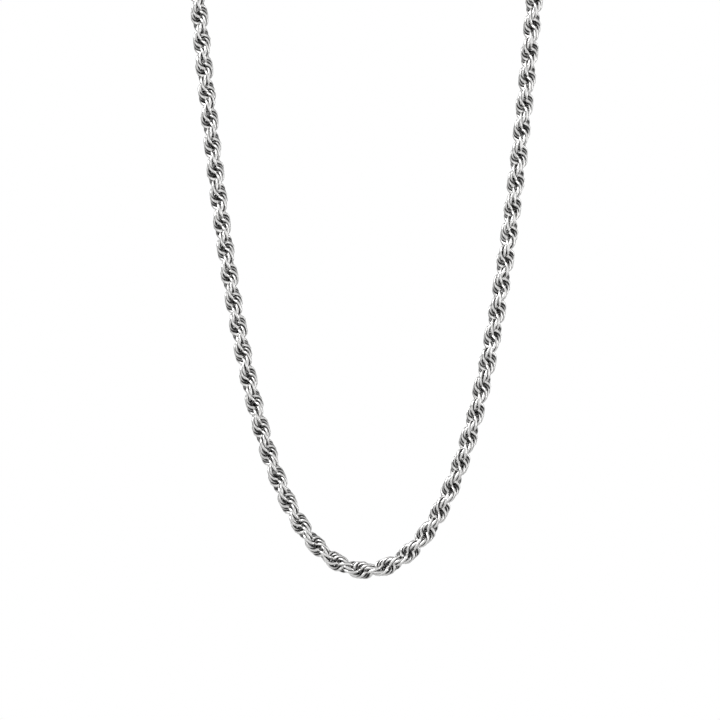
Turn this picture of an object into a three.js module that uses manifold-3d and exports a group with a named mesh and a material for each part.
// Rope-chain necklace with a lobster-claw clasp.
//
// The chain is a double helix of small round links, each linked through the
// next three. It hangs from a neck or a display form as a U, and the clasp
// closes it behind the neck.
//
// Frame: millimetres. +Z up, +X to the viewer's right, +Y from the hanging
// front to the clasp at the back. The origin is half way between the two points
// where the chain leaves the neck and starts to hang.
//
// A run of about sixteen links is one mesh here: a twisted body with the
// chain's own outline, its two strands side by side at both ends. The runs meet
// at points where the links let the chain bend.

import * as THREE from 'three';
import { mergeVertices } from 'three/addons/utils/BufferGeometryUtils.js';
import Module from 'manifold-3d';

const wasm = await Module();
wasm.setup();

// ---- driving dimensions: the rope -------------------------------------------
const ROPE_D = 4.5;            // rope over its two strands
const ROPE_T = 2.56;           // rope across one strand, at a waist
const HALF_PITCH = 6.7;        // bulge to bulge: half a turn of the helix
const LAY_SHIFT = -1.34;       // where the bulge nearest the bottom of the U lies
const RUN = 2 * HALF_PITCH;    // length of one run of links
const CATENARY_A = 13.7;       // catenary parameter of the hanging U
const HANG_RUNS = 13;          // runs from the bottom to the neck, one side
const LEVELS = 10;             // of those, runs that swing in pairs
const BACK_RUNS = 5;           // equal runs from the hang line to an end cap
const BACK_DEPTH = 39;         // how far the clasp lies behind the hanging U
const BACK_RISE = 23;          // how far the clasp lies above the hang line
const BACK_STRAIGHT = 17;      // half length of the straight stretch at the clasp
const SIDE_REACH = 25;         // how long each side keeps going up at first
const NAPE_REACH = 21;         // how long each side keeps going across at last

// Each run is drawn in at both ends: distance from the joint, share of full size.
const END_TAPER = [[0.2, 0.42], [0.65, 0.78], [1.35, 1]];
const OVAL_SIDES = 10;
const RINGS_PER_BULGE = 6;

// ---- driving dimensions: rings, caps and clasp -------------------------------
const JUMP = { radius: 2.2, wire: 0.4, cut: 0.12 };   // bent ring at the claw's eye
const CATCH = { radius: 2.7, wire: 0.45 };            // soldered ring the claw closes on
const LOOP = { radius: 1.5, wire: 0.4 };              // fixed loop on each end cap
const CAP = { play: 0.35, wall: 0.35, neck: 1.5, chamfer: 0.65, start: 1.3, length: 4.3, floor: 1.1 };
const ROPE_PLAY = 0.4;         // from the cap's floor to the rope's end
const WIRE_GAP = 0.15;         // between linked wires at rest

const CLAW = { x: -1.2, z: -0.4, rx: 5.6, rz: 3.4, thick: 2.4, bevel: 0.3 };
const MOUTH = { x: -2.2, z: -0.3, rx: 3.2, rz: 1.9 };
const EYE = { x: 5.0, radius: 1.9, hole: 1.1 };
const NOSE_X = -3.9;           // the hook's open side runs from here
const HEEL_X = 0.95;           // to here
const SLOT = { x0: 0.5, x1: 3.75, z0: -1.15, wall: 0.5 };
const PIVOT = { x: 2.4, z: 1.1, pin: 0.35, play: 0.15 };
const LEVER = { tipX: -3.6, innerEndX: -0.1, outerEndX: -0.7, play: 0.2 };
const LEVER_EDGE_STEPS = 5;
const SPRING_WIRE = 0.14;
const HOOK_PLAY = 0.85;        // from the hook's inside to the catch ring's wire
const EYE_PLAY = 0.95;         // from the eye's inside to the jump ring's wire

const TAG_RING = { radius: 1.7, wire: 0.35, angle: 0.75 * Math.PI };
const TAG = { width: 3.4, length: 7.0, thick: 0.5, hole: 0.8, corner: 1.1, margin: 1.5 };

// ---- materials -----------------------------------------------------------------
const silver = new THREE.MeshStandardMaterial({ color: 0xe6e5e2, roughness: 0.14, metalness: 1 });
const castSilver = new THREE.MeshStandardMaterial({ color: 0xdddcd9, roughness: 0.2, metalness: 1 });
const springSteel = new THREE.MeshStandardMaterial({ color: 0x9c9b98, roughness: 0.3, metalness: 1 });

// ---- helpers ---------------------------------------------------------------------
const V = (x, y, z) => new THREE.Vector3(x, y, z);
const necklace = new THREE.Group();

// A geometry with positions only, shared vertices merged and faces turned outwards.
function clean(geometry) {
  const bare = new THREE.BufferGeometry();
  bare.setAttribute('position', geometry.attributes.position.clone());
  if (geometry.index) bare.setIndex(geometry.index.clone());
  const merged = mergeVertices(bare, 1e-4);
  const points = merged.attributes.position;
  const corner = (i) => V().fromBufferAttribute(points, i);
  const triangles = [];
  let volume = 0;
  for (let i = 0; i < merged.index.count; i += 3) {
    const [a, b, c] = [0, 1, 2].map((k) => merged.index.getX(i + k));
    if (a === b || b === c || a === c) continue;
    volume += corner(a).dot(corner(b).cross(corner(c)));
    triangles.push([a, b, c]);
  }
  merged.setIndex(triangles.flatMap(([a, b, c]) => (volume < 0 ? [a, c, b] : [a, b, c])));
  return merged;
}

function toManifold(geometry) {
  const g = clean(geometry);
  return new wasm.Manifold(new wasm.Mesh({
    numProp: 3,
    vertProperties: Float32Array.from(g.attributes.position.array),
    triVerts: Uint32Array.from(g.index.array),
  }));
}

function fromManifold(solid) {
  const mesh = solid.getMesh();
  const g = new THREE.BufferGeometry();
  g.setAttribute('position', new THREE.BufferAttribute(Float32Array.from(mesh.vertProperties), 3));
  g.setIndex(Array.from(mesh.triVerts));
  return g;
}

function add(name, geometry, material, parent = necklace) {
  const g = clean(geometry);
  g.computeVertexNormals();
  const mesh = new THREE.Mesh(g, material);
  mesh.name = name;
  parent.add(mesh);
  return mesh;
}

// The convex outline around a set of 2-D points, anticlockwise.
function hull(points) {
  const sorted = points.slice().sort((a, b) => a.x - b.x || a.y - b.y);
  const cross = (o, a, b) => (a.x - o.x) * (b.y - o.y) - (a.y - o.y) * (b.x - o.x);
  const half = (list) => {
    const out = [];
    for (const q of list) {
      while (out.length >= 2 && cross(out[out.length - 2], out[out.length - 1], q) <= 0) out.pop();
      out.push(q);
    }
    out.pop();
    return out;
  };
  return [...half(sorted), ...half(sorted.reverse())];
}

const ellipse = (cx, cy, rx, ry, n) => Array.from({ length: n }, (_, i) => {
  const t = 2 * Math.PI * i / n;
  return new THREE.Vector2(cx + rx * Math.cos(t), cy + ry * Math.sin(t));
});

// A flat plate drawn in X and Z, its thickness along Y about y = 0.
function plateXZ(outline, holes, thick, bevel) {
  const shape = new THREE.Shape(outline);
  for (const hole of holes) shape.holes.push(new THREE.Path(hole));
  const g = new THREE.ExtrudeGeometry(shape, {
    depth: thick - 2 * bevel, steps: 1, bevelEnabled: bevel > 0,
    bevelThickness: bevel, bevelSize: bevel, bevelOffset: -bevel, bevelSegments: 1,
  });
  g.translate(0, 0, -(thick - 2 * bevel) / 2);
  g.rotateX(Math.PI / 2);
  return g;
}

function boxAt(x0, x1, width, z0, z1) {
  const g = new THREE.BoxGeometry(x1 - x0, width, z1 - z0);
  g.translate((x0 + x1) / 2, 0, (z0 + z1) / 2);
  return g;
}

function pinHole() {
  const radius = PIVOT.pin + PIVOT.play;
  const g = new THREE.CylinderGeometry(radius, radius, 2 * CLAW.thick, 14);
  g.translate(PIVOT.x, 0, PIVOT.z);
  return g;
}

const wireSection = (radius, n) => new THREE.Shape(ellipse(0, 0, radius, radius, n));

// ---- the line the chain follows ---------------------------------------------------
// One side from the bottom of the U to the clasp, as a function of the length
// along it. The U is a catenary; from the hang line a cubic goes up, round the
// neck and across to the clasp.
const S_HANG = HANG_RUNS * RUN;
const catenary = (s) => {
  const u = Math.asinh(s / CATENARY_A);
  return [CATENARY_A * u, CATENARY_A * (Math.cosh(u) - 1)];
};
const [X_HANG, Z_HANG] = catenary(S_HANG);
const U_HANG = Math.asinh(S_HANG / CATENARY_A);
const hangDirection = V(1 / Math.cosh(U_HANG), 0, Math.tanh(U_HANG));
const backStart = V(X_HANG, 0, 0);
const backEnd = V(BACK_STRAIGHT, BACK_DEPTH, BACK_RISE);
const backCurve = new THREE.CubicBezierCurve3(
  backStart, backStart.clone().addScaledVector(hangDirection, SIDE_REACH),
  backEnd.clone().add(V(NAPE_REACH, 0, 0)), backEnd);
backCurve.arcLengthDivisions = 400;
const BACK_LENGTH = backCurve.getLength();
const S_CLASP = S_HANG + BACK_LENGTH + BACK_STRAIGHT;

function chainPoint(s) {
  const d = Math.abs(s);
  let p;
  if (d <= S_HANG) {
    const [x, z] = catenary(d);
    p = V(x, 0, z - Z_HANG);
  } else if (d <= S_HANG + BACK_LENGTH) {
    p = backCurve.getPointAt((d - S_HANG) / BACK_LENGTH);
  } else {
    p = V(S_CLASP - d, BACK_DEPTH, BACK_RISE);
  }
  if (s < 0) p.x = -p.x;
  return p;
}

// Directions across the line, carried along it from the bottom without twisting.
const STEP = HALF_PITCH / 24;
function carryAcross(sign) {
  const list = [{ across: V(0, 0, 1), along: V(1, 0, 0) }];
  for (let i = 1; i * STEP < S_CLASP; i++) {
    const s = sign * i * STEP;
    const along = chainPoint(s + 0.01).sub(chainPoint(s - 0.01)).normalize();
    const across = list[i - 1].across.clone();
    across.addScaledVector(along, -across.dot(along)).normalize();
    list.push({ across, along });
  }
  return list;
}
const rightFrames = carryAcross(1);
const leftFrames = carryAcross(-1);

function frameAt(s) {
  const list = s >= 0 ? rightFrames : leftFrames;
  const place = Math.min(Math.abs(s) / STEP, list.length - 2);
  const i = Math.floor(place);
  const across = list[i].across.clone().lerp(list[i + 1].across, place - i);
  const along = list[i].along.clone().lerp(list[i + 1].along, place - i).normalize();
  across.addScaledVector(along, -across.dot(along)).normalize();
  return { across, other: along.clone().cross(across) };
}

// ---- one run of links ---------------------------------------------------------------
// The outline across the chain is a long oval over its two strands. It makes
// half a turn per bulge, right-handed, and is drawn in at both ends so that two
// runs can fold at their joint without touching.
function run(name, s0, s1) {
  const taperLength = END_TAPER[END_TAPER.length - 1][0];
  const stations = END_TAPER.map(([d, share]) => [s0 + d, share]);
  const inner = s1 - s0 - 2 * taperLength;
  const rings = Math.round(inner * RINGS_PER_BULGE / HALF_PITCH);
  for (let i = 1; i < rings; i++) stations.push([s0 + taperLength + inner * i / rings, 1]);
  stations.push(...END_TAPER.map(([d, share]) => [s1 - d, share]).reverse());

  const positions = [];
  for (const [s, share] of stations) {
    const { across, other } = frameAt(s);
    const turn = Math.PI * (s - LAY_SHIFT) / HALF_PITCH;
    for (let j = 0; j < OVAL_SIDES; j++) {
      const f = 2 * Math.PI * j / OVAL_SIDES;
      const long = share * ROPE_D / 2 * Math.cos(f);
      const short = share * ROPE_T / 2 * Math.sin(f);
      const point = chainPoint(s)
        .addScaledVector(across, long * Math.cos(turn) - short * Math.sin(turn))
        .addScaledVector(other, long * Math.sin(turn) + short * Math.cos(turn));
      positions.push(point.x, point.y, point.z);
    }
  }

  const triangles = [];
  const last = (stations.length - 1) * OVAL_SIDES;
  for (let i = 0; i < stations.length - 1; i++) {
    for (let j = 0; j < OVAL_SIDES; j++) {
      const a = i * OVAL_SIDES + j;
      const b = i * OVAL_SIDES + (j + 1) % OVAL_SIDES;
      triangles.push(a, b, b + OVAL_SIDES, a, b + OVAL_SIDES, a + OVAL_SIDES);
    }
  }
  for (let j = 1; j < OVAL_SIDES - 1; j++) {
    triangles.push(0, j + 1, j);
    triangles.push(last, last + j, last + j + 1);
  }
  const g = new THREE.BufferGeometry();
  g.setAttribute('position', new THREE.BufferAttribute(new Float32Array(positions), 3));
  g.setIndex(triangles);
  add(name, g, silver);
}

// Where the rings and loops of the clasp lie along X, from the nape's middle.
const jumpX = EYE.x + EYE.hole - EYE_PLAY + JUMP.radius;
const catchX = MOUTH.x - MOUTH.rx + HOOK_PLAY - CATCH.radius;
const loopDrop = LOOP.radius - LOOP.wire - WIRE_GAP;
const loopRightX = jumpX + JUMP.radius + loopDrop - JUMP.wire;
const loopLeftX = catchX - CATCH.radius - loopDrop + CATCH.wire;

// The hanging runs and the back runs, whose last one ends inside its cap.
const ropeInCap = CAP.start + CAP.floor + ROPE_PLAY;
const endOf = { left: S_CLASP - (ropeInCap - loopLeftX), right: S_CLASP - (loopRightX + ropeInCap) };
for (const [side, sign] of [['left', -1], ['right', 1]]) {
  const place = (name, low, high) => (sign > 0 ? run(name, low, high) : run(name, -high, -low));
  for (let k = 0; k < HANG_RUNS - LEVELS; k++) {
    place(`bottom_${side}_${k + 1}`, k * RUN, (k + 1) * RUN);
  }
  for (let k = 1; k <= LEVELS; k++) {
    const number = String(k).padStart(2, '0');
    place(`drop_${side}_${number}`, S_HANG - k * RUN, S_HANG - (k - 1) * RUN);
  }
  const backRun = (endOf[side] - S_HANG) / BACK_RUNS;
  for (let k = 1; k <= BACK_RUNS; k++) {
    place(`back_${side}_${k}`, S_HANG + (k - 1) * backRun, S_HANG + k * backRun);
  }
}

// ---- end caps, rings and clasp, in a group placed at the nape -------------------------
const nape = new THREE.Group();
nape.position.set(0, BACK_DEPTH, BACK_RISE);
necklace.add(nape);

// End cap: a cup soldered over the rope's end, with a loop on its base.
function endCap(name, loopX, facing) {
  const { neck, chamfer, start, length, floor } = CAP;
  const bore = ROPE_D / 2 + CAP.play;
  const radius = bore + CAP.wall;
  const profile = [
    [0, start], [neck, start], [radius - chamfer, start + 0.4 * chamfer], [radius, start + 1.5 * chamfer],
    [radius, start + length], [bore, start + length], [bore, start + floor], [0, start + floor],
  ].map(([r, h]) => new THREE.Vector2(r, h));
  const cup = new THREE.LatheGeometry(profile, 24);
  cup.rotateZ(-Math.PI / 2);
  const loop = new THREE.TorusGeometry(LOOP.radius, LOOP.wire, 8, 20);
  loop.rotateX(Math.PI / 2);
  const g = fromManifold(toManifold(cup).add(toManifold(loop)));
  if (facing < 0) g.rotateZ(Math.PI);
  g.translate(loopX, 0, 0);
  add(name, g, castSilver, nape);
}
endCap('end_cap_right', loopRightX, 1);
endCap('end_cap_left', loopLeftX, -1);

// Jump ring: bent wire with a saw cut on the side away from both loads.
class Arc extends THREE.Curve {
  constructor(radius, start, sweep) {
    super();
    Object.assign(this, { radius, start, sweep });
  }

  getPoint(t, target = V()) {
    const f = this.start + this.sweep * t;
    return target.set(this.radius * Math.cos(f), this.radius * Math.sin(f), 0);
  }
}
const cutAngle = JUMP.cut / JUMP.radius;
const jumpRing = new THREE.ExtrudeGeometry(wireSection(JUMP.wire, 8), {
  steps: 22, bevelEnabled: false,
  extrudePath: new Arc(JUMP.radius, (Math.PI + cutAngle) / 2, 2 * Math.PI - cutAngle),
});
add('jump_ring', jumpRing, silver, nape).position.x = jumpX;

// Catch ring: soldered shut, so a whole torus.
const catchRing = new THREE.TorusGeometry(CATCH.radius, CATCH.wire, 8, 24);
add('catch_ring', catchRing, silver, nape).position.x = catchX;

const slotWidth = CLAW.thick - 2 * SLOT.wall;

// Claw: a teardrop casting with a hooked nose, an eye at its tail, and a slot
// that holds the lever and its spring.
function clawBody() {
  const outline = hull([
    ...ellipse(CLAW.x, CLAW.z, CLAW.rx, CLAW.rz, 30),
    ...ellipse(EYE.x, 0, EYE.radius, EYE.radius, 18),
  ]);
  const mouth = ellipse(MOUTH.x, MOUTH.z, MOUTH.rx, MOUTH.rz, 20);
  const eye = ellipse(EYE.x, 0, EYE.hole, EYE.hole, 14);
  const above = 2 * CLAW.rz;
  const openSide = boxAt(NOSE_X, HEEL_X, 2 * CLAW.thick, 0.3, above);
  const slot = boxAt(SLOT.x0, SLOT.x1, slotWidth, SLOT.z0, above);
  return [openSide, slot, pinHole()].reduce(
    (body, cut) => body.subtract(toManifold(cut)),
    toManifold(plateXZ(outline, [mouth, eye], CLAW.thick, CLAW.bevel)));
}
add('claw_body', fromManifold(clawBody()), castSilver, nape);

// Lever: closes the hook from the pivot to the nose, with a thumb tab outside.
// Its inner edge follows the mouth and its outer edge the claw, and the heel and
// the tab are laid out from the pivot.
function lever() {
  const edge = ({ x, z, rx, rz }, lift, x0, x1) => Array.from({ length: LEVER_EDGE_STEPS + 1 }, (_, i) => {
    const at = x0 + (x1 - x0) * i / LEVER_EDGE_STEPS;
    return [at, z + rz * Math.sqrt(1 - ((at - x) / rx) ** 2) + lift];
  });
  const fromPivot = (list) => list.map(([x, z]) => [PIVOT.x + x, PIVOT.z + z]);
  const inside = edge(MOUTH, 0.1, LEVER.tipX, LEVER.innerEndX);
  const heel = fromPivot([
    [-1.8, -0.15], [-1.1, -0.65], [0, -0.85], [0.65, -0.6], [0.9, 0], [0.7, 0.65], [0.1, 1.2],
  ]);
  const thumbTab = fromPivot([[-0.65, 1.9], [-0.95, 3], [-1.45, 3.35], [-2.05, 3.1], [-2.4, 2.3]]);
  const outside = edge(CLAW, -0.05, LEVER.outerEndX, LEVER.tipX);
  const outline = [...inside, ...heel, ...thumbTab, ...outside].map(([x, z]) => new THREE.Vector2(x, z));
  const thick = slotWidth - 2 * LEVER.play;
  return toManifold(plateXZ(outline, [], thick, 0)).subtract(toManifold(pinHole()));
}
add('trigger_lever', fromManifold(lever()), castSilver, nape);

const pin = new THREE.CylinderGeometry(PIVOT.pin, PIVOT.pin, CLAW.thick + 0.1, 12);
add('trigger_pin', pin, silver, nape).position.set(PIVOT.x, 0, PIVOT.z);

// Return spring: a bent wire under the lever's heel, just above the slot's floor.
const springPath = new THREE.CatmullRomCurve3(
  [[-1.25, 1.05], [-0.7, 0.4], [0.2, 0.35], [0.95, 0.7], [0.9, 1.15]]
    .map(([x, z]) => V(PIVOT.x + x, 0, SLOT.z0 + z)));
const spring = new THREE.ExtrudeGeometry(wireSection(SPRING_WIRE, 6), {
  steps: 14, bevelEnabled: false, extrudePath: springPath,
});
add('trigger_spring', spring, springSteel, nape);

// Blank tag on its own small ring, on the side of the catch ring away from the claw.
const tagHolder = new THREE.Group();
tagHolder.position.set(
  catchX + CATCH.radius * Math.cos(TAG_RING.angle), CATCH.radius * Math.sin(TAG_RING.angle), 0);
tagHolder.rotation.z = TAG_RING.angle - Math.PI / 2;
nape.add(tagHolder);

const ringDrop = TAG_RING.radius - TAG_RING.wire - CATCH.wire - WIRE_GAP;
const tagRing = new THREE.TorusGeometry(TAG_RING.radius, TAG_RING.wire, 8, 20);
tagRing.rotateY(Math.PI / 2);
add('tag_ring', tagRing, silver, tagHolder).position.z = -ringDrop;

function tagPlate() {
  const holeZ = -ringDrop - TAG_RING.radius - (TAG.hole - TAG_RING.wire - WIRE_GAP);
  const x = TAG.width / 2 - TAG.corner;
  const top = holeZ + TAG.margin - TAG.corner;
  const low = holeZ + TAG.margin - TAG.length + TAG.corner;
  const cornerSteps = 3;
  const outline = [[x, top], [-x, top], [-x, low], [x, low]].flatMap(([cx, cz], quarter) => (
    Array.from({ length: cornerSteps + 1 }, (_, i) => {
      const f = Math.PI / 2 * (quarter + i / cornerSteps);
      return new THREE.Vector2(cx + TAG.corner * Math.cos(f), cz + TAG.corner * Math.sin(f));
    })));
  return plateXZ(outline, [ellipse(0, holeZ, TAG.hole, TAG.hole, 14)], TAG.thick, 0);
}
add('tag', tagPlate(), silver, tagHolder);

export default necklace;
